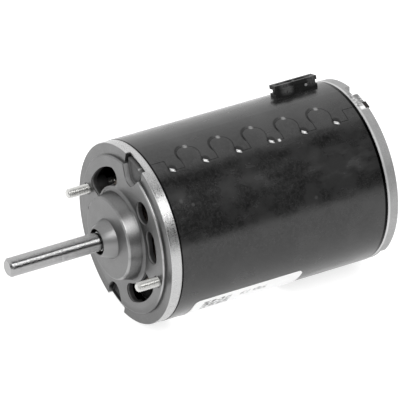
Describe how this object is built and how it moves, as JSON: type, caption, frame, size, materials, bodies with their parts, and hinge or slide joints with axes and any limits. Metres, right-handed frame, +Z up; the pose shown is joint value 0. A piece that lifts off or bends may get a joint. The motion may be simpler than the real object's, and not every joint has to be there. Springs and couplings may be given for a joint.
{
  "type": "blower motor",
  "caption": "Round permanent-magnet motor for a heater or ventilation blower, with vented cast end bells, a seamed steel shell, a plain shaft and mounting studs on its front face.",
  "frame": {"origin": "centre of the stud circle on the front mounting face", "axes": "+Y along the motor axis from the mounting face to the rear end bell, so the output shaft points to -Y; +Z up, with the connector and seam near the top"},
  "size_m": [0.0762, 0.1657, 0.0799],
  "materials": {
    "painted_shell": "semi-gloss dark grey paint over rolled sheet",
    "cast_zinc": "die-cast, bare satin",
    "plated_steel": "zinc plated",
    "shaft_steel": "ground and bright",
    "ferrite": "dark sintered ferrite",
    "spring_steel": "spring steel, oiled",
    "bronze": "oil-filled sintered bronze",
    "felt": "oil-soaked felt",
    "lamination": "stacked laminations, varnished",
    "insulator": "pressed board",
    "varnished_copper": "varnished copper wire",
    "moulding": "moulded phenolic, matt",
    "copper": "turned copper",
    "nylon": "natural nylon",
    "brass": "pressed brass",
    "carbon": "carbon graphite, dull",
    "black_plastic": "moulded, matt black",
    "wire_cover": "flexible wire covering",
    "label_paper": "white coated label stock, plain"
  },
  "bodies": {
    "housing": {"motor_shell": "painted_shell", "front_end_bell": "cast_zinc", "rear_end_bell": "cast_zinc", "through_bolts": "plated_steel", "bolt_lock_washers": "plated_steel", "magnet_upper": "ferrite", "magnet_lower": "ferrite", "magnet_spring_right": "spring_steel", "magnet_spring_left": "spring_steel", "front_bearing": "bronze", "rear_bearing": "bronze", "front_oil_felt": "felt", "rear_oil_felt": "felt", "front_bearing_retainer": "spring_steel", "rear_bearing_retainer": "spring_steel", "brush_card": "moulding", "brush_card_screws": "plated_steel", "brush_holder_upper": "brass", "brush_holder_lower": "brass", "connector_body": "black_plastic", "connector_terminals": "brass", "lead_to_upper_holder": "wire_cover", "lead_to_lower_holder": "wire_cover", "rating_label": "label_paper"},
    "armature": {"shaft": "shaft_steel", "armature_core": "lamination", "core_insulators": "insulator", "armature_winding": "varnished_copper", "commutator_hub": "moulding", "commutator_bars": "copper", "front_spacer": "nylon", "rear_spacer": "nylon", "thrust_washers": "nylon"},
    "upper_brush": {"brush_upper": "carbon", "brush_spring_upper": "spring_steel", "brush_shunt_upper": "copper"},
    "lower_brush": {"brush_lower": "carbon", "brush_spring_lower": "spring_steel", "brush_shunt_lower": "copper"}
  },
  "joints": [
    {"name": "armature_spin", "type": "hinge", "parent": "housing", "child": "armature", "pos_m": [0, 0, 0], "axis": [0, 1, 0], "continuous": true},
    {"name": "upper_brush_slide", "type": "slide", "parent": "housing", "child": "upper_brush", "axis": [0, 0, 1], "range_m": [0, 0.003], "stiffness_N_per_m": 150, "springref_m": -0.006, "deforming": ["brush_spring_upper", "brush_shunt_upper"]},
    {"name": "lower_brush_slide", "type": "slide", "parent": "housing", "child": "lower_brush", "axis": [0, 0, -1], "range_m": [0, 0.003], "stiffness_N_per_m": 150, "springref_m": -0.006, "deforming": ["brush_spring_lower", "brush_shunt_lower"]}
  ]
}
